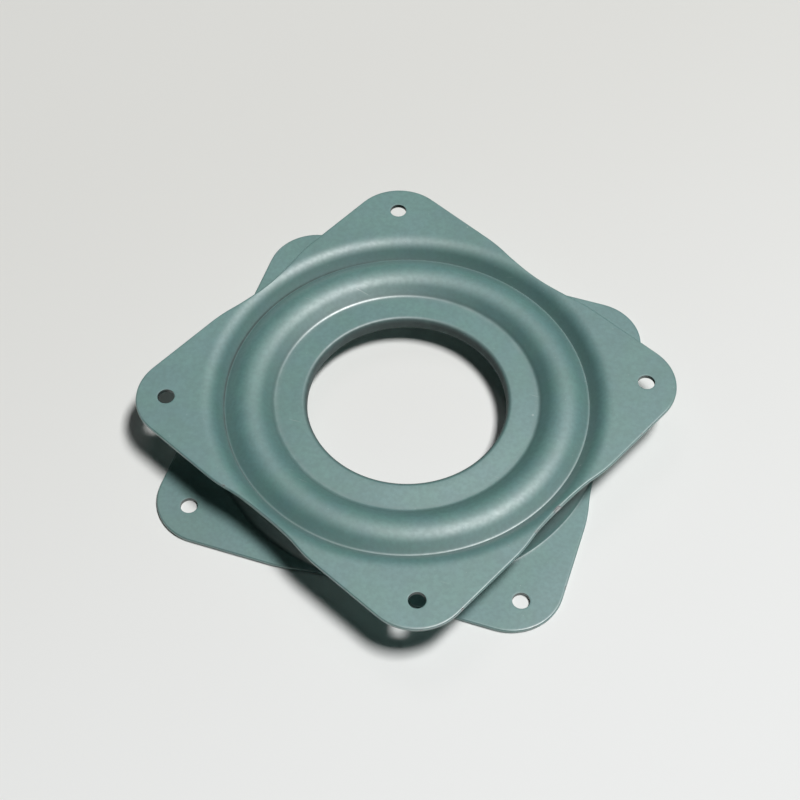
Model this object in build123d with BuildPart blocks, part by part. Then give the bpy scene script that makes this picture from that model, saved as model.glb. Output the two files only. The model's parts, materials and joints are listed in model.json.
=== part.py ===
import os
from math import asin, cos, floor, pi, radians, sin, sqrt, tan

from build123d import *

# Square plates, pressed from sheet steel
sheet = 0.85
plate_side = 77.8
corner_radius = 9.8
hole_inset = 6.9  # from the sides of the plate to the middle of each screw hole
hole_diameter = 3.2
side_draw_in = 1.25  # how far the pressing pulls in the middle of each side
draw_in_length = 22.0
draw_in_blend = 30.0
upper_turn = -24.6  # turn of the upper plate against the lower one at rest

# Balls and the race that they run in
ball_diameter = 6.35
ball_gap = 0.3  # least space between neighbouring balls
ball_clearance = 0.085
pitch_radius = 29.8
race_radius = 3.95  # across the groove, on the face that the balls touch
race_side_angle = 38.5  # slope of the straight sides of the groove

# Pressed section, measured down from the face of the ears
crown_drop = 0.69
trough_depth = 3.1
shoulder_radius = 3.7
step_angle = 47.0
crease_radius = 0.3

# Ring inside the race, with its rolled hem, and the margin of the lower plate held in that hem
ring_width = 4.58
ring_lean = 3.3  # the ring rises by this angle towards the hem
hem_lap = 2.2
hem_clearance = 0.2
margin_bend_radius = 0.5

# Heights of the section
ball_radius = ball_diameter / 2
mid_height = ball_radius + ball_clearance + sheet + crown_drop
ear_height = 2 * mid_height
trough_height = ear_height - trough_depth
hem_radius = (3 * sheet + 2 * hem_clearance) / 2

# Where the straight sides of the race leave the dome over the balls and end in the creases
race_side = radians(race_side_angle)
dome_radius = race_radius + sheet
dome_run = dome_radius * sin(race_side)
side_rise = trough_depth - crown_drop - dome_radius * (1 - cos(race_side))
race_half_width = dome_run + side_rise / tan(race_side)
outer_crease = pitch_radius + race_half_width
inner_crease = pitch_radius - race_half_width

# Where the step down from the ears starts
step_slope = radians(step_angle)
step_run = (trough_depth - shoulder_radius * (1 - cos(step_slope))) / tan(step_slope)
shoulder_start = outer_crease + step_run + shoulder_radius * sin(step_slope)

# The lower plate's margin, drawn upside down: its far face lies two sheets and a clearance below the ring
lean = radians(ring_lean)
margin_drop = (2 * sheet + hem_clearance) / cos(lean)
margin_rise = 2 * trough_height - ear_height - margin_drop
margin_root = inner_crease - margin_rise / (tan(race_side) - tan(lean))
margin_end = inner_crease - ring_width * cos(lean) + hem_clearance

hole_circle_radius = (plate_side - 2 * hole_inset) / sqrt(2)
draw_in_radius = (draw_in_length**2 / 4 + side_draw_in**2) / (2 * side_draw_in)
draw_in_center = plate_side / 2 - side_draw_in + draw_in_radius
ball_count = floor(pi / asin((ball_radius + ball_gap / 2) / pitch_radius))

# Sections are drawn on these two planes: the second one is the first one turned over
upper_section = Plane.XZ
lower_section = Plane(origin=(0, 0, ear_height), x_dir=(1, 0, 0), z_dir=(0, 1, 0))

def margin_height(radius):
    """Height of the margin's far face, drawn upside down."""
    return ear_height - trough_height - (inner_crease - radius) * tan(lean) + margin_drop

def ears_and_race(race_end):
    """Far face of a plate from past its corners, over the shoulder, down the step and across the race."""
    ear = Line((plate_side, ear_height), (shoulder_start, ear_height))
    shoulder = JernArc(ear @ 1, ear % 1, shoulder_radius, step_angle)
    step = Line(shoulder @ 1, (outer_crease, trough_height))
    outer_side = Line(step @ 1, (pitch_radius + dome_run, trough_height + side_rise))
    dome = JernArc(outer_side @ 1, outer_side % 1, dome_radius, 2 * race_side_angle)
    Line(dome @ 1, race_end)

# Outline of both plates: a rounded square whose sides are pulled in at the middle
with BuildSketch() as outline:
    RectangleRounded(plate_side, plate_side, corner_radius)
    with PolarLocations(draw_in_center, 4):
        Circle(draw_in_radius, mode=Mode.SUBTRACT)
    fillet(outline.vertices().sort_by_distance((0, 0))[:8], draw_in_blend)

# Upper plate: ears, step, race dome, inner ring and the hem rolled under it
with BuildPart() as upper_plate:
    with BuildSketch(upper_section):
        with BuildLine() as upper_face:
            race_end = (inner_crease, trough_height)
            ears_and_race(race_end)
            ring = PolarLine(race_end, ring_width, 180 - ring_lean)
            hem = JernArc(ring @ 1, ring % 1, hem_radius, 180)
            PolarLine(hem @ 1, hem_lap, direction=hem % 1)
            fillet(upper_face.vertices().sort_by_distance((outer_crease, trough_height))[0], crease_radius)
            fillet(upper_face.vertices().sort_by_distance(race_end)[0], crease_radius)
            offset(amount=sheet, side=Side.LEFT)
        make_face()
    revolve(axis=Axis.Z)
    extrude(outline.sketch.rotate(Axis.Z, upper_turn), amount=ear_height, mode=Mode.INTERSECT)
    with PolarLocations(hole_circle_radius, 4, start_angle=45 + upper_turn):
        Hole(hole_diameter / 2)
upper_plate.part.label = "upper_plate"

# Lower plate: the same ears, step and race turned over, with a margin that rises into the hem
with BuildPart() as lower_plate:
    with BuildSketch(lower_section):
        with BuildLine() as lower_face:
            race_end = (margin_root, margin_height(margin_root))
            ears_and_race(race_end)
            Line(race_end, (margin_end, margin_height(margin_end)))
            fillet(lower_face.vertices().sort_by_distance((outer_crease, trough_height))[0], crease_radius)
            fillet(lower_face.vertices().sort_by_distance(race_end)[0], margin_bend_radius)
            offset(amount=sheet, side=Side.LEFT)
        make_face()
    revolve(axis=Axis.Z)
    extrude(outline.sketch, amount=ear_height, mode=Mode.INTERSECT)
    with PolarLocations(hole_circle_radius, 4, start_angle=45):
        Hole(hole_diameter / 2)
lower_plate.part.label = "lower_plate"

os.makedirs("parts", exist_ok=True)
export_step(upper_plate.part, "parts/upper_plate.step")
export_step(lower_plate.part, "parts/lower_plate.step")

# Loose balls, evenly spread round the race
ball_places = PolarLocations(pitch_radius, ball_count).local_locations
for number, place in enumerate(ball_places, start=1):
    ball_name = f"ball_{number:02d}"
    with BuildPart() as ball:
        with Locations(place.position + Vector(0, 0, mid_height)):
            Sphere(ball_radius)
    ball.part.label = ball_name
    export_step(ball.part, f"parts/{ball_name}.step")
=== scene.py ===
"""Looks of a square turntable bearing: two pressed, painted steel plates with a ring of balls between."""

import json
from math import atan2, cos, degrees, exp, pi, radians, sin, sqrt, tan

import bmesh
import bpy
from mathutils import Matrix, Vector


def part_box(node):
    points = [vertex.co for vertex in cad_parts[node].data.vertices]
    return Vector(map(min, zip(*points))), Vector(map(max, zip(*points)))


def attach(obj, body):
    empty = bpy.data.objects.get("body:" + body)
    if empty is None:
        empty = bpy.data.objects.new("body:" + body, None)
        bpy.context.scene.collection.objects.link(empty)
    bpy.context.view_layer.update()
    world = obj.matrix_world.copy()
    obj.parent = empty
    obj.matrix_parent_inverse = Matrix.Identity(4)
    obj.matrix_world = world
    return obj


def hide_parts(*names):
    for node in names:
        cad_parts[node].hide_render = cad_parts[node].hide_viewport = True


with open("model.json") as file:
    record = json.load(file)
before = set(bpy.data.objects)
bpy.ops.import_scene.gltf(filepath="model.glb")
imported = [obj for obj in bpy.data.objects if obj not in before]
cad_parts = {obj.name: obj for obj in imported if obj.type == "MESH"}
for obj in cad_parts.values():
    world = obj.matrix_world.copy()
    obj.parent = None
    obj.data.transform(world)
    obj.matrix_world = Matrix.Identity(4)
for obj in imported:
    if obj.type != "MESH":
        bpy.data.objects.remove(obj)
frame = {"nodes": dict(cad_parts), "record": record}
nodes = frame["nodes"]
mounts = {m["name"]: m for m in frame["record"]["mounts"]}
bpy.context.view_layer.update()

# Meshes are drawn in millimetres and scaled to metres when they are finished
MM = 0.001


def size_mm(node):
    """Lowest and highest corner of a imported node, in millimetres."""
    low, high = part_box(node)
    return low / MM, high / MM


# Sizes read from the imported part
EAR_HEIGHT = size_mm("upper_plate")[1].z
HALF_SIDE = size_mm("lower_plate")[1].x
BALL_LOW, BALL_HIGH = size_mm("ball_01")
PITCH_RADIUS = ((BALL_LOW + BALL_HIGH) / 2).xy.length
UPPER_HOLE = Vector(mounts["upper_screw_hole_1"]["pos_m"]).xy / MM
UPPER_TURN = atan2(UPPER_HOLE.y, UPPER_HOLE.x) - pi / 4
HOLE_SPACING = mounts["lower_screw_holes"]["dims"]["spacing_x_mm"]
HOLE_RADIUS = mounts["lower_screw_holes"]["dims"]["hole_r_mm"]

# Outline of the plates: round corners, and sides drawn in along the middle and blended out to straight
CORNER_RADIUS = 9.8
DRAW_IN = 1.25
DRAW_IN_LENGTH = 22.0
DRAW_IN_BLEND = 30.0

# Ears, step and outer crease of the pressed section, with depths taken down from the face of the ears
SHEET = 0.85
TROUGH_DEPTH = 3.1
UPPER_SHOULDER = 3.7
UPPER_STEP = radians(52)
LOWER_SHOULDER = 1.1
LOWER_STEP = radians(62)
LOWER_FOOT = 37.5
FOOT_LIFT = 0.12
FOOT_ROUND = 0.7
FOOT_SHARP = 0.04

# Domed race, inner crease, ring, hem and the margin that the hem holds
CROWN_DROP = 0.69
RACE_RADIUS = 3.95
RACE_SIDE = radians(38.5)
CREASE_ROUND = 0.36
RING_WIDTH = 4.58
RING_LEAN = radians(3.3)
HEM_GAP = 0.2
HEM_LAP = 2.2
HEM_BEND = 0.95
MARGIN_BEND = 0.16

# Heights and radii that follow from them
TROUGH = EAR_HEIGHT - TROUGH_DEPTH
DOME_RADIUS = RACE_RADIUS + SHEET
DOME_CENTRE = EAR_HEIGHT - CROWN_DROP - DOME_RADIUS
SIDE_RISE = TROUGH_DEPTH - CROWN_DROP - DOME_RADIUS * (1 - cos(RACE_SIDE))
RACE_HALF_WIDTH = DOME_RADIUS * sin(RACE_SIDE) + SIDE_RISE / tan(RACE_SIDE)
OUTER_CREASE = PITCH_RADIUS + RACE_HALF_WIDTH
INNER_CREASE = PITCH_RADIUS - RACE_HALF_WIDTH
UPPER_BEND = OUTER_CREASE + TROUGH_DEPTH / tan(UPPER_STEP)
LOWER_BEND = LOWER_FOOT - SHEET * tan(LOWER_STEP / 2)
HEM_RADIUS = (3 * SHEET + 2 * HEM_GAP) / 2
RING_END = INNER_CREASE - RING_WIDTH * cos(RING_LEAN)
MARGIN_DROP = (2 * SHEET + HEM_GAP) / cos(RING_LEAN)
MARGIN_ROOT = INNER_CREASE - (2 * TROUGH - EAR_HEIGHT - MARGIN_DROP) / (tan(RACE_SIDE) - tan(RING_LEAN))

# How many parts the turn round the axis and the runs and bends of the section are drawn in
PARTS_ROUND = 360
SLOPE_PARTS = 4
SHARP_PARTS = 3
FOOT_PARTS = 6
SIDE_PARTS = 4
DOME_PARTS = 22
CREASE_PARTS = 6
RING_PARTS = 5
HEM_PARTS = 10
HEM_WALL_PARTS = 2
HEM_LEG_PARTS = 2
MARGIN_SIDE_PARTS = 5
MARGIN_PARTS = 3
MARGIN_BEND_PARTS = 5

# The ears are drawn out in rings from the first circle, closer together beside the step
FIRST_CIRCLE = 36.0
EAR_RINGS = 18
EAR_CROWDING = 1.6

# Cut edges and screw holes; the skin is cleared round a hole a little beyond its collar and filled again
RIM_BAND = 0.5
RIM_ROUND = 0.26
RIM_PARTS = 4
SHARP_ANGLE = radians(60)
HOLE_SEGMENTS = 48
HOLE_COLLAR = 0.45
HOLE_CLEARING = 0.7
HOLE_ROUND = 0.06
MERGE_DISTANCE = 1e-5


def edge_reach(direction):
    """Distance from the axis to the cut edge of a plate, in a direction taken from the middle of a side."""
    lean = abs((direction + pi / 4) % (pi / 2) - pi / 4)

    def to_circle(x, y, radius, side):
        along = x * cos(lean) + y * sin(lean)
        across = x * sin(lean) - y * cos(lean)
        return along + side * sqrt(radius**2 - across**2)

    draw_radius = (DRAW_IN_LENGTH**2 / 4 + DRAW_IN**2) / (2 * DRAW_IN)
    draw_x = HALF_SIDE - DRAW_IN + draw_radius
    blend_x = HALF_SIDE - DRAW_IN_BLEND
    between = draw_radius + DRAW_IN_BLEND
    blend_y = sqrt(between**2 - (draw_x - blend_x) ** 2)
    meet_x = blend_x + (draw_x - blend_x) * DRAW_IN_BLEND / between
    meet_y = blend_y - blend_y * DRAW_IN_BLEND / between
    corner = HALF_SIDE - CORNER_RADIUS
    if lean < atan2(meet_y, meet_x):
        return to_circle(draw_x, 0, draw_radius, -1)
    if lean < atan2(blend_y, HALF_SIDE):
        return to_circle(blend_x, blend_y, DRAW_IN_BLEND, 1)
    if lean < atan2(corner, HALF_SIDE):
        return HALF_SIDE / cos(lean)
    return to_circle(corner, corner, CORNER_RADIUS, 1)


class Step:
    """Step from the ears down to the outer crease: radius where its two lines meet, slope and rounding."""

    def __init__(self, bend, slope, rounding):
        self.bend = bend
        self.slope = slope
        self.rounding = rounding
        self.start = bend + rounding * tan(slope / 2)
        self.end = self.start - rounding * sin(slope)

    def height(self, radius):
        """Height of the far face on the slope, over the shoulder and out on the ears."""
        if radius >= self.start:
            return EAR_HEIGHT
        if radius < self.end:
            return EAR_HEIGHT - self.rounding * (1 - cos(self.slope)) - (self.end - radius) * tan(self.slope)
        return EAR_HEIGHT - self.rounding + sqrt(self.rounding**2 - (self.start - radius) ** 2)


class Section:
    """Half section of a plate, drawn on from one end in runs and arcs."""

    def __init__(self, bm, radius, height):
        self.bm = bm
        self.end = bm.verts.new((radius, 0, height))

    def run(self, radius, height, parts=1):
        start = self.end.co.copy()
        for part in range(1, parts + 1):
            self.end = bmesh.ops.extrude_vert_indiv(self.bm, verts=[self.end])["verts"][0]
            self.end.co = start.lerp(Vector((radius, 0, height)), part / parts)
        return self.end

    def arc(self, radius, height, angle, parts):
        made = bmesh.ops.spin(self.bm, geom=[self.end], cent=(radius, 0, height), axis=(0, -1, 0),
                              angle=angle, steps=parts)["geom_last"]
        self.end = next(v for v in made if isinstance(v, bmesh.types.BMVert))

    def round(self, corner, reach, parts):
        bmesh.ops.bevel(self.bm, geom=[corner], offset=reach, offset_type="OFFSET", segments=parts,
                        profile=0.5, affect="VERTICES", material=-1)


def upper_inner_end(section):
    """Inner side of the race, ring and the hem rolled under it."""
    crease = section.run(INNER_CREASE, TROUGH, SIDE_PARTS)
    along = Vector((-cos(RING_LEAN), sin(RING_LEAN)))
    down = Vector((-sin(RING_LEAN), -cos(RING_LEAN)))
    wall = 2 * (HEM_RADIUS - HEM_BEND)
    end = Vector((INNER_CREASE, TROUGH)) + (RING_WIDTH + HEM_RADIUS - HEM_BEND) * along
    section.run(end.x, end.y, RING_PARTS)
    centre = end + HEM_BEND * down
    section.arc(centre.x, centre.y, pi / 2, HEM_PARTS)
    foot = centre + HEM_BEND * along + wall * down
    section.run(foot.x, foot.y, HEM_WALL_PARTS)
    centre += wall * down
    section.arc(centre.x, centre.y, pi / 2, HEM_PARTS)
    tip = end + 2 * HEM_RADIUS * down - (HEM_LAP + HEM_RADIUS - HEM_BEND) * along
    section.run(tip.x, tip.y, HEM_LEG_PARTS)
    section.round(crease, CREASE_ROUND, CREASE_PARTS)


def lower_inner_end(section):
    """Inner side of the race and the margin that the hem holds."""

    def margin_height(radius):
        return EAR_HEIGHT - TROUGH - (INNER_CREASE - radius) * tan(RING_LEAN) + MARGIN_DROP

    bend = section.run(MARGIN_ROOT, margin_height(MARGIN_ROOT), MARGIN_SIDE_PARTS)
    section.run(RING_END + HEM_GAP, margin_height(RING_END + HEM_GAP), MARGIN_PARTS)
    section.round(bend, MARGIN_BEND, MARGIN_BEND_PARTS)


def pressed_face(step, inner_end):
    """Far face of a plate as a thin skin: step and dome spun round, ears drawn out to the cut edge."""
    bm = bmesh.new()
    first = min(FIRST_CIRCLE, step.end)
    section = Section(bm, first, step.height(first))
    bottom = TROUGH + FOOT_LIFT
    crease = section.run(step.bend - (EAR_HEIGHT - bottom) / tan(step.slope), bottom, SLOPE_PARTS)
    foot = OUTER_CREASE - FOOT_LIFT / tan(RACE_SIDE) + FOOT_ROUND * tan(RACE_SIDE / 2)
    section.run(foot, bottom)
    section.arc(foot, bottom + FOOT_ROUND, -RACE_SIDE, FOOT_PARTS)
    section.run(PITCH_RADIUS + DOME_RADIUS * sin(RACE_SIDE), TROUGH + SIDE_RISE, SIDE_PARTS)
    section.arc(PITCH_RADIUS, DOME_CENTRE, 2 * RACE_SIDE, DOME_PARTS)
    inner_end(section)
    section.round(crease, FOOT_SHARP, SHARP_PARTS)
    bmesh.ops.spin(bm, geom=bm.verts[:] + bm.edges[:], cent=(0, 0, 0), axis=(0, 0, 1), angle=2 * pi,
                   steps=PARTS_ROUND, use_merge=True)
    draw_out_ears(bm, step, first)
    return bm


def draw_out_ears(bm, step, first):
    """Rings of faces from the first circle out to the cut edge, the last one a narrow band along the rim."""
    rim = [e for e in bm.edges if e.is_boundary and e.verts[0].co.xy.length > OUTER_CREASE]
    for ring in range(1, EAR_RINGS + 2):
        made = bmesh.ops.extrude_edge_only(bm, edges=rim)["geom"]
        rim = [e for e in made if isinstance(e, bmesh.types.BMEdge) and e.is_boundary]
        for vert in {v for e in rim for v in e.verts}:
            direction = atan2(vert.co.y, vert.co.x)
            reach = edge_reach(direction)
            share = min(ring / EAR_RINGS, 1) ** EAR_CROWDING
            radius = first + (reach - RIM_BAND - first) * share
            if ring > EAR_RINGS:
                radius = reach
            vert.co = (radius * cos(direction), radius * sin(direction), step.height(radius))


def punch(bm, place):
    """A round screw hole through the skin of an ear, with a narrow collar of even faces round it."""
    cleared = HOLE_RADIUS + HOLE_COLLAR + HOLE_CLEARING
    near = dict.fromkeys(f for f in bm.faces if (f.calc_center_median().xy - place).length < cleared)
    torn = [e for f in near for e in f.edges if any(other not in near for other in e.link_faces)]
    bmesh.ops.delete(bm, geom=list(near), context="FACES")
    middle = Matrix.Translation((*place, EAR_HEIGHT))
    ring = bmesh.ops.create_circle(bm, radius=HOLE_RADIUS, segments=HOLE_SEGMENTS, matrix=middle)["verts"]
    wall = list(dict.fromkeys(e for v in ring for e in v.link_edges))
    made = bmesh.ops.extrude_edge_only(bm, edges=wall)["geom"]
    collar = [v for v in made if isinstance(v, bmesh.types.BMVert)]
    wider = 1 + HOLE_COLLAR / HOLE_RADIUS
    bmesh.ops.scale(bm, vec=(wider, wider, 1), space=middle.inverted(), verts=collar)
    outside = [e for e in made if isinstance(e, bmesh.types.BMEdge) and all(v in collar for v in e.verts)]
    bmesh.ops.triangle_fill(bm, edges=torn + outside, use_beauty=True)


def hole_gap(flat, holes):
    """Distance from a point to the wall of the nearest screw hole."""
    return min((flat - place).length for place in holes) - HOLE_RADIUS


def round_cut_edges(bm, holes):
    """Small round on the rims of the holes and a larger one along the cut edges."""
    sharp = [e for e in bm.edges if len(e.link_faces) == 2 and e.calc_face_angle() > SHARP_ANGLE]
    at_holes = [e for e in sharp if hole_gap(e.verts[0].co.xy, holes) < HOLE_COLLAR / 2]
    at_rims = [e for e in sharp if hole_gap(e.verts[0].co.xy, holes) >= HOLE_COLLAR / 2]
    for edges, reach in ((at_holes, HOLE_ROUND), (at_rims, RIM_ROUND)):
        bmesh.ops.bevel(bm, geom=edges, offset=reach, offset_type="OFFSET", segments=RIM_PARTS, profile=0.5,
                        affect="EDGES", material=-1)


# A mark on one side is the narrower, the higher this power
HIGHLIGHT_NARROWING = 1
SHADE_NARROWING = 3


def towards(direction, side, narrowing):
    """Share of a mark in a direction: 1 at its side and 0 opposite, or 1 all round without a side."""
    if side is None:
        return 1.0
    return ((1 + cos(direction - side)) / 2) ** narrowing


def mark_finish(bm, holes, creases, shade_bands, wear_and_glint_places):
    """Marks for the paint: rim, walls of the holes, creases with a painted highlight, bands of painted shade,
    and how worn the rim is, which also places a painted highlight.
    """
    rim = bm.verts.layers.float.new("rim")
    hole = bm.verts.layers.float.new("hole")
    crease = bm.verts.layers.float.new("crease")
    shade_band = bm.verts.layers.float.new("shade_band")
    wear_and_glint = bm.verts.layers.float.new("wear_and_glint")
    for vert in bm.verts:
        flat = vert.co.xy
        direction = atan2(flat.y, flat.x)
        gap = edge_reach(direction) - flat.length
        vert[rim] = 1 - min(max(gap - RIM_ROUND, 0) / (RIM_BAND - RIM_ROUND), 1)
        vert[hole] = float(hole_gap(flat, holes) < HOLE_ROUND / 2)
        # Where the creases get their painted highlight
        vert[crease] = max((abs(flat.length - radius) < reach) * towards(direction, side, HIGHLIGHT_NARROWING)
                           for radius, reach, side in creases)
        # Strength of the painted shade bands at this point
        vert[shade_band] = sum(strength * exp(-(((flat.length - radius) / reach) ** 2))
                           * towards(direction, side, SHADE_NARROWING)
                           for radius, reach, strength, side in shade_bands)
        # How worn the rim is here, which also sets its painted highlight
        vert[wear_and_glint] = max(strength * exp(-(((degrees(direction) - middle) / spread) ** 2))
                         for middle, spread, strength in wear_and_glint_places)


def plate(name, step, inner_end, holes, creases, shade_bands, wear_and_glint_places, turned_over, turn):
    """A finished plate: the skin gets its holes, its thickness and rounded rims, and is set in place."""
    bm = pressed_face(step, inner_end)
    for place in holes:
        punch(bm, place)
    bmesh.ops.remove_doubles(bm, verts=bm.verts, dist=MERGE_DISTANCE)
    bmesh.ops.recalc_face_normals(bm, faces=bm.faces)
    if sum(f.normal.z * f.calc_area() for f in bm.faces) < 0:
        bmesh.ops.reverse_faces(bm, faces=bm.faces)
    bmesh.ops.solidify(bm, geom=bm.faces[:], thickness=SHEET)
    round_cut_edges(bm, holes)
    mark_finish(bm, holes, creases, shade_bands, wear_and_glint_places)
    if turned_over:
        bmesh.ops.scale(bm, vec=(1, 1, -1), verts=bm.verts)
        bmesh.ops.translate(bm, vec=(0, 0, EAR_HEIGHT), verts=bm.verts)
    bmesh.ops.rotate(bm, cent=(0, 0, 0), matrix=Matrix.Rotation(turn, 3, "Z"), verts=bm.verts)
    bmesh.ops.scale(bm, vec=(MM, MM, MM), verts=bm.verts)
    bmesh.ops.recalc_face_normals(bm, faces=bm.faces)
    mesh = bpy.data.meshes.new(name)
    bm.to_mesh(mesh)
    bm.free()
    mesh.shade_smooth()
    piece = bpy.data.objects.new(name, mesh)
    bpy.context.scene.collection.objects.link(piece)
    return piece


# Worn stretches of each rim, where the rim is also paler as a painted highlight: direction from the axis and
# spread in degrees, and how bare the steel is
UPPER_WEAR_AND_GLINT = (
    (-41, 9, 0.75),
    (-1, 3, 0.8),
    (-10, 4, 0.45),
    (33, 5, 0.5),
    (54, 3, 0.5),
    (-104, 1.2, 0.8),
    (-133, 6, 0.35),
    (-157, 4, 0.4),
    (120, 5, 0.3),
)
LOWER_WEAR_AND_GLINT = (
    (-34, 1.2, 0.8),
    (-46, 2.5, 0.7),
    (-38, 4, 0.4),
    (-137, 6, 0.35),
    (60, 4, 0.4),
    (140, 5, 0.5),
)

# The outer crease gets a line of painted shade on this side and a painted highlight on the other
CREASE_SHADE_SIDE = radians(-160)
CREASE_HIGHLIGHT_SIDE = CREASE_SHADE_SIDE + pi

# One ear of the lower plate gets painted shade, darker than the others, where the upper plate's shadow falls
SHADED_EAR = radians(-135)

# Creases with a painted highlight line and a polish: radius, reach and the side where they are
UPPER_CREASES = (
    (INNER_CREASE, CREASE_ROUND, None),
    (OUTER_CREASE + 0.05, 0.15, CREASE_HIGHLIGHT_SIDE),
)
LOWER_CREASES = (
    (MARGIN_ROOT, CREASE_ROUND, None),
)

# Painted shade, darkening the creases, the bore wall, the foot of the lower step and one lower ear where
# shade falls: radius of the middle of each band, its reach, how strong it is and the side where it is
UPPER_SHADE_BANDS = (
    (OUTER_CREASE + 0.2, 1.7, 1.35, None),
    (OUTER_CREASE + 0.17, 0.16, 3.0, CREASE_SHADE_SIDE),
    (INNER_CREASE + 0.8, 1.5, 0.9, None),
    (INNER_CREASE + 0.3, 0.25, 0.8, None),
    (RING_END - HEM_RADIUS, 0.55, 3.6, None),
)
LOWER_SHADE_BANDS = (
    (LOWER_FOOT - 1.2, 1.3, 2.4, None),
    (MARGIN_ROOT + 0.8, 1.6, 0.6, None),
    (47.0, 9.0, 0.65, SHADED_EAR),
)

# The two plates
square = [Vector((x * HOLE_SPACING / 2, y * HOLE_SPACING / 2)) for x in (-1, 1) for y in (-1, 1)]
upper = plate("upper_pressing", Step(UPPER_BEND, UPPER_STEP, UPPER_SHOULDER), upper_inner_end, square,
              UPPER_CREASES, UPPER_SHADE_BANDS, UPPER_WEAR_AND_GLINT, turned_over=False, turn=UPPER_TURN)
lower = plate("lower_pressing", Step(LOWER_BEND, LOWER_STEP, LOWER_SHOULDER), lower_inner_end, square,
              LOWER_CREASES, LOWER_SHADE_BANDS, LOWER_WEAR_AND_GLINT, turned_over=True, turn=0)
for piece, node in ((upper, "upper_plate"), (lower, "lower_plate")):
    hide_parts(node)
    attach(piece, node)


class Value:
    """An output of a node. Sums written with it add Math nodes to its tree."""

    def __init__(self, socket):
        self.socket = socket

    def maths(self, operation, *terms):
        node = self.socket.id_data.nodes.new("ShaderNodeMath")
        node.operation = operation
        for entry, term in zip(node.inputs, terms):
            if isinstance(term, Value):
                self.socket.id_data.links.new(term.socket, entry)
            else:
                entry.default_value = term
        return Value(node.outputs[0])

    def __add__(self, other):
        return self.maths("ADD", self, other)

    def __sub__(self, other):
        return self.maths("SUBTRACT", self, other)

    def __rsub__(self, other):
        return self.maths("SUBTRACT", other, self)

    def __mul__(self, other):
        return self.maths("MULTIPLY", self, other)

    __radd__ = __add__


# Noise runs from 0 to 1 about this middle
NOISE_MIDDLE = 0.5

# A fleck is full in this inner share of its size, and the choice of cells is sharp to this much
FLECK_CORE = 0.5
FLECK_CHOICE = 0.02


class Finish:
    """A material made of nodes."""

    def __init__(self, name):
        self.material = bpy.data.materials.new(name)
        self.material.use_nodes = True
        self.tree = self.material.node_tree
        self.tree.nodes.clear()
        self.place = self.node("ShaderNodeTexCoord")["Object"]

    def node(self, kind, settings=None, **sockets):
        node = self.tree.nodes.new(kind)
        for key, value in (settings or {}).items():
            setattr(node, key, value)
        for key, value in sockets.items():
            entry = next(s for s in node.inputs if s.enabled and s.name.replace(" ", "_") == key)
            if isinstance(value, Value):
                self.tree.links.new(value.socket, entry)
            else:
                entry.default_value = value
        return {s.name: Value(s) for s in node.outputs if s.enabled}

    def mark(self, name):
        return self.node("ShaderNodeAttribute", {"attribute_name": name})["Fac"]

    def noise(self, scale, detail):
        return self.node("ShaderNodeTexNoise", Vector=self.place, Scale=scale, Detail=detail)["Fac"]

    def blend(self, factor, first, second):
        return self.node("ShaderNodeMix", {"data_type": "RGBA"}, Factor=factor, A=first, B=second)["Result"]

    def ramp(self, value, low, high):
        """0 below low, 1 above high and a smooth rise between."""
        return self.node("ShaderNodeMapRange", {"interpolation_type": "SMOOTHSTEP"},
                         Value=value, From_Min=low, From_Max=high)["Result"]

    def flecks(self, cell, size, share, turn=0.0, offset=0.0):
        """Sparse marks, one at most in each cell of these two sizes in metres, in this share of the cells."""
        spread = self.node("ShaderNodeMapping", Vector=self.place, Location=(offset, offset, offset),
                           Rotation=(0, 0, turn), Scale=(1 / cell[0], 1 / cell[1], 1 / max(cell)))["Vector"]
        cells = self.node("ShaderNodeTexVoronoi", Vector=spread, Scale=1.0)
        chance = self.node("ShaderNodeSeparateColor", Color=cells["Color"])["Red"]
        near = 1 - self.ramp(cells["Distance"], FLECK_CORE * size, size)
        return near * self.ramp(chance, 1 - share, 1 + FLECK_CHOICE - share)

    def bump(self, height, depth):
        return self.node("ShaderNodeBump", Height=height, Distance=depth)["Normal"]

    def surface(self, **sockets):
        shader = self.node("ShaderNodeBsdfPrincipled", **sockets)["BSDF"]
        self.node("ShaderNodeOutputMaterial", Surface=shader)
        return self.material


# Colours of the enamel, of what lies on it, of its painted shade and painted highlights and of the steel
# under it, in linear light
DEEP_GREEN = (0.091, 0.230, 0.207, 1)
PALE_GREEN = (0.108, 0.262, 0.237, 1)
DEEP_BLUE = (0.093, 0.224, 0.220, 1)
PALE_BLUE = (0.110, 0.253, 0.249, 1)
GRAIN_COLOUR = (0.060, 0.147, 0.137, 1)
PAINTED_SHADE_COLOUR = (0.022, 0.055, 0.052, 1)
DUST_COLOUR = (0.42, 0.52, 0.51, 1)
PIT_COLOUR = (0.045, 0.075, 0.070, 1)
CREASE_HIGHLIGHT_COLOUR = (0.36, 0.46, 0.45, 1)
RUBBED_RIM_AND_GLINT_COLOUR = (0.34, 0.42, 0.41, 1)
HOLE_WALL_COLOUR = (0.030, 0.045, 0.042, 1)
CHIP_EDGE_COLOUR = (0.060, 0.080, 0.076, 1)
BARE_STEEL_COLOUR = (0.44, 0.47, 0.47, 1)

# Share of the wide clouds and of the fine mottle in the tone, and the levels where tone, cast and grain turn
CLOUD_TONE = 0.6
MOTTLE_TONE = 0.4
TONE_LEVELS = (0.36, 0.64)
CAST_LEVELS = (0.35, 0.65)
GRAIN_LEVELS = (0.3, 0.7)

# How far each mark takes the colour over
GRAIN_COVER = 0.35
PAINTED_SHADE_COVER = 0.18
PAINTED_SHADE_PATCH_COVER = 0.20
DUST_COVER = 0.35
SPECK_COVER = 0.5
RUB_COVER = 0.28
PIT_COVER = 0.7
CREASE_HIGHLIGHT_COVER = 0.25
RIM_COVER = 0.03
WORN_RIM_AND_GLINT_COVER = 0.5
HOLE_WALL_COVER = 0.85
CHIP_EDGE_COVER = 0.55

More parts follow.
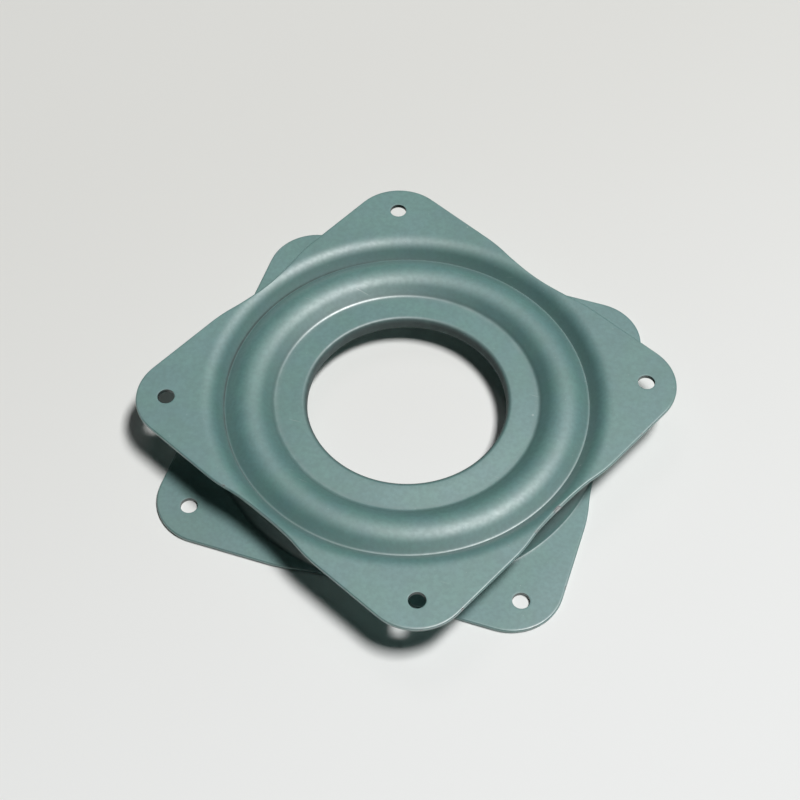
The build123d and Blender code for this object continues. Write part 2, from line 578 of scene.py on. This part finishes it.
# What the rim adds to the noise that bares the steel, and the levels of the dark edge and of the bare chip
RIM_BARENESS = 0.03
WORN_BARENESS = 0.26
CHIP_EDGE_LEVELS = (0.74, 0.80)
CHIP_LEVELS = (0.82, 0.86)
CHIP_METAL = 0.6

# The enamel is matt where the painted shade is strong, and the coat comes off between these strengths
MATT_BAND_LEVELS = (1.3, 3.2)
ENAMEL_COAT = 0.5
COAT_ROUGHNESS = 0.45
ENAMEL_IOR = 1.74

# Roughness of the enamel, what adds to it and what polishes it
ENAMEL_ROUGHNESS = 0.58
MATT_BAND_ROUGHNESS = 0.34
MOTTLE_ROUGHNESS = 0.14
GRAIN_ROUGHNESS = 0.05
CREASE_POLISH = 0.15
RIM_POLISH = 0.14
RUB_POLISH = 0.10
CHIP_POLISH = 0.22

# Relief of the enamel in hundredths of a millimetre
RELIEF_UNIT = 0.00001
CLOUD_RELIEF = 6
PEEL_RELIEF = 0.55
SPECK_RELIEF = 0.8
DUST_RELIEF = 0.5
RUB_RELIEF = 0.5
CHIP_RELIEF = 3


def plate_paint():
    """Satin sage enamel on pressed steel: uneven tone, fine peel, specks, rubs, rims chipped bare, painted
    shade in the grooves and painted highlights on creases and rims.
    """
    paint = Finish("sage_green_enamel")
    rim = paint.mark("rim")
    hole = paint.mark("hole")
    crease = paint.mark("crease")
    shade_band = paint.mark("shade_band")
    wear_and_glint = paint.mark("wear_and_glint")

    cloud = paint.noise(scale=60, detail=2)
    mottle = paint.noise(scale=420, detail=4)
    grain = paint.ramp(paint.noise(scale=1300, detail=2), *GRAIN_LEVELS)
    peel = paint.noise(scale=2400, detail=2)
    specks = paint.flecks(cell=(0.006, 0.006), size=0.05, share=0.30)
    dust = paint.flecks(cell=(0.0011, 0.0011), size=0.11, share=0.12, offset=3.7)
    pits = paint.flecks(cell=(0.009, 0.009), size=0.03, share=0.35, offset=9.1)
    rubs = (paint.flecks(cell=(0.020, 0.0012), size=0.10, share=0.22, turn=0.5)
            + paint.flecks(cell=(0.014, 0.0010), size=0.10, share=0.18, turn=-1.0)
            + paint.flecks(cell=(0.030, 0.0014), size=0.07, share=0.20, turn=1.9))

    tone = paint.ramp(cloud * CLOUD_TONE + mottle * MOTTLE_TONE, *TONE_LEVELS)
    cast = paint.ramp(paint.noise(scale=150, detail=2), *CAST_LEVELS)
    greener = paint.blend(tone, DEEP_GREEN, PALE_GREEN)
    bluer = paint.blend(tone, DEEP_BLUE, PALE_BLUE)
    colour = paint.blend(cast, greener, bluer)
    colour = paint.blend(grain * GRAIN_COVER, colour, GRAIN_COLOUR)
    # Painted shade: creases, the bore wall, the foot of the lower step and one lower ear are darkened where
    # shade falls
    colour = paint.blend(shade_band * (PAINTED_SHADE_COVER + mottle * PAINTED_SHADE_PATCH_COVER), colour, PAINTED_SHADE_COLOUR)
    colour = paint.blend(dust * DUST_COVER + specks * SPECK_COVER + rubs * RUB_COVER, colour, DUST_COLOUR)
    colour = paint.blend(pits * PIT_COVER, colour, PIT_COLOUR)
    # Painted highlight: a pale line along the creases
    colour = paint.blend(crease * mottle * CREASE_HIGHLIGHT_COVER, colour, CREASE_HIGHLIGHT_COLOUR)
    # Partly real wear, partly painted highlight: the rim is paler, most where it is worn
    colour = paint.blend(rim * (RIM_COVER + wear_and_glint * WORN_RIM_AND_GLINT_COVER), colour, RUBBED_RIM_AND_GLINT_COLOUR)
    colour = paint.blend(hole * HOLE_WALL_COVER, colour, HOLE_WALL_COLOUR)

    bareness = paint.noise(scale=600, detail=4) + rim * (RIM_BARENESS + wear_and_glint * WORN_BARENESS)
    edge = paint.ramp(bareness, *CHIP_EDGE_LEVELS)
    chip = paint.ramp(bareness, *CHIP_LEVELS)
    colour = paint.blend(edge * CHIP_EDGE_COVER, colour, CHIP_EDGE_COLOUR)
    colour = paint.blend(chip, colour, BARE_STEEL_COLOUR)

    matt_band = paint.ramp(shade_band, *MATT_BAND_LEVELS)
    roughness = (ENAMEL_ROUGHNESS + matt_band * MATT_BAND_ROUGHNESS
                 + (mottle - NOISE_MIDDLE) * MOTTLE_ROUGHNESS + (grain - NOISE_MIDDLE) * GRAIN_ROUGHNESS
                 - crease * CREASE_POLISH - rim * RIM_POLISH - rubs * RUB_POLISH - chip * CHIP_POLISH)
    relief = (cloud * CLOUD_RELIEF + peel * PEEL_RELIEF + specks * SPECK_RELIEF + dust * DUST_RELIEF
              - rubs * RUB_RELIEF - chip * CHIP_RELIEF)
    coat = (ENAMEL_COAT - chip * ENAMEL_COAT) * (1 - matt_band)
    return paint.surface(Base_Color=colour, Roughness=roughness, Metallic=chip * CHIP_METAL,
                         Specular_IOR_Level=1.0, IOR=ENAMEL_IOR, Coat_Weight=coat,
                         Coat_Roughness=COAT_ROUGHNESS, Normal=paint.bump(relief, RELIEF_UNIT))


# Polished steel of the balls: colours, roughness with what haze and running marks add to it, and relief
DARK_STEEL = (0.50, 0.50, 0.51, 1)
PALE_STEEL = (0.66, 0.66, 0.66, 1)
BALL_ROUGHNESS = 0.12
HAZE_ROUGHNESS = 0.12
MARK_ROUGHNESS = 0.12
HAZE_RELIEF = 0.2
MARK_RELIEF = 0.6
BALL_RELIEF_UNIT = 0.000004


def ball_steel():
    """Polished bearing steel with a fine haze of running marks."""
    steel = Finish("polished_ball_steel")
    haze = steel.noise(scale=900, detail=4)
    marks = steel.flecks(cell=(0.0016, 0.0003), size=0.16, share=0.35, turn=0.7)
    colour = steel.blend(haze, DARK_STEEL, PALE_STEEL)
    roughness = BALL_ROUGHNESS + haze * HAZE_ROUGHNESS + marks * MARK_ROUGHNESS
    relief = haze * HAZE_RELIEF - marks * MARK_RELIEF
    return steel.surface(Base_Color=colour, Roughness=roughness, Metallic=1.0,
                         Normal=steel.bump(relief, BALL_RELIEF_UNIT))


# Floor with painted light falloff, paler towards the front right as the camera sees it, with sizes in metres
FLOOR_SIZE = 3
FLOOR_BACK = (0.760, 0.760, 0.730, 1)
FLOOR_FRONT = (0.870, 0.880, 0.872, 1)
FLOOR_SHADE_TURN = radians(48)
FLOOR_SHADE_REACH = 0.10
FLOOR_WAVER = 0.01
FLOOR_ROUGHNESS = 0.9
FLOOR_SHINE = 0.2


def floor_card():
    """Pale card with painted shade, a little greyer towards the back left, where the light falls off."""
    card = Finish("pale_floor")
    turned = card.node("ShaderNodeMapping", Vector=card.place, Rotation=(0, 0, FLOOR_SHADE_TURN))["Vector"]
    along = card.node("ShaderNodeSeparateXYZ", Vector=turned)["X"]
    waver = (card.noise(scale=30, detail=3) - NOISE_MIDDLE) * FLOOR_WAVER
    shade = card.ramp(along + waver, -FLOOR_SHADE_REACH, FLOOR_SHADE_REACH)
    colour = card.blend(shade, FLOOR_BACK, FLOOR_FRONT)
    return card.surface(Base_Color=colour, Roughness=FLOOR_ROUGHNESS, Specular_IOR_Level=FLOOR_SHINE)


paint = plate_paint()
upper.data.materials.append(paint)
lower.data.materials.append(paint)
steel = ball_steel()
for name, node in nodes.items():
    if name.startswith("ball_"):
        node.data.materials.clear()
        node.data.materials.append(steel)

# Floor
bm = bmesh.new()
bmesh.ops.create_grid(bm, x_segments=1, y_segments=1, size=FLOOR_SIZE)
mesh = bpy.data.meshes.new("floor")
bm.to_mesh(mesh)
bm.free()
mesh.materials.append(floor_card())
floor = bpy.data.objects.new("floor", mesh)
bpy.context.scene.collection.objects.link(floor)

# Camera at the angle of the photo, aimed at a point on the floor; its lens and sensor are in millimetres
VIEW_TURN = radians(18.313)
VIEW_RISE = radians(54.58)
VIEW_DISTANCE = 0.3240
VIEW_TARGET = Vector((-1.3342, -0.1330, 0)) * MM
SENSOR_WIDTH = 36
LENS = 75.55
LENS_SHIFT = 0.021875
NEAREST_SEEN = 0.01
back = Vector((sin(VIEW_TURN) * cos(VIEW_RISE), -cos(VIEW_TURN) * cos(VIEW_RISE), sin(VIEW_RISE)))
camera = bpy.data.objects.new("camera", bpy.data.cameras.new("camera"))
camera.data.sensor_width = SENSOR_WIDTH
camera.data.lens = LENS
camera.data.shift_y = LENS_SHIFT
camera.data.clip_start = NEAREST_SEEN
camera.location = VIEW_TARGET + back * VIEW_DISTANCE
camera.rotation_euler = back.to_track_quat("Z", "Y").to_euler()
bpy.context.scene.collection.objects.link(camera)
bpy.context.scene.camera = camera

# Light: a soft box to the right, a weak one behind and a dim room
LAMP_DISTANCE = 2.2
ROOM_COLOUR = (0.9, 0.95, 1.0, 1)
ROOM_STRENGTH = 0.004


def lamp(name, right, front, width, depth, level):
    """A soft box over the part that leans to the right and front of the photo by these angles, in degrees."""
    light = bpy.data.lights.new(name, "AREA")
    light.shape = "RECTANGLE"
    light.size = width
    light.size_y = depth
    light.energy = level * pi**2 * LAMP_DISTANCE**2
    lean = Vector((tan(radians(right)), -tan(radians(front)), 1)).normalized()
    piece = bpy.data.objects.new(name, light)
    piece.matrix_world = (Matrix.Rotation(VIEW_TURN, 4, "Z") @ Matrix.Translation(lean * LAMP_DISTANCE)
                          @ lean.to_track_quat("Z", "Y").to_matrix().to_4x4())
    bpy.context.scene.collection.objects.link(piece)


lamp("main_lamp", right=18.5, front=2.5, width=0.70, depth=0.42, level=0.98)
lamp("back_lamp", right=-8, front=-36, width=1.0, depth=0.8, level=0.045)

world = bpy.data.worlds.new("room")
bpy.context.scene.world = world
world.use_nodes = True
world.node_tree.nodes["Background"].inputs["Color"].default_value = ROOM_COLOUR
world.node_tree.nodes["Background"].inputs["Strength"].default_value = ROOM_STRENGTH

bpy.context.scene.view_settings.view_transform = "Standard"
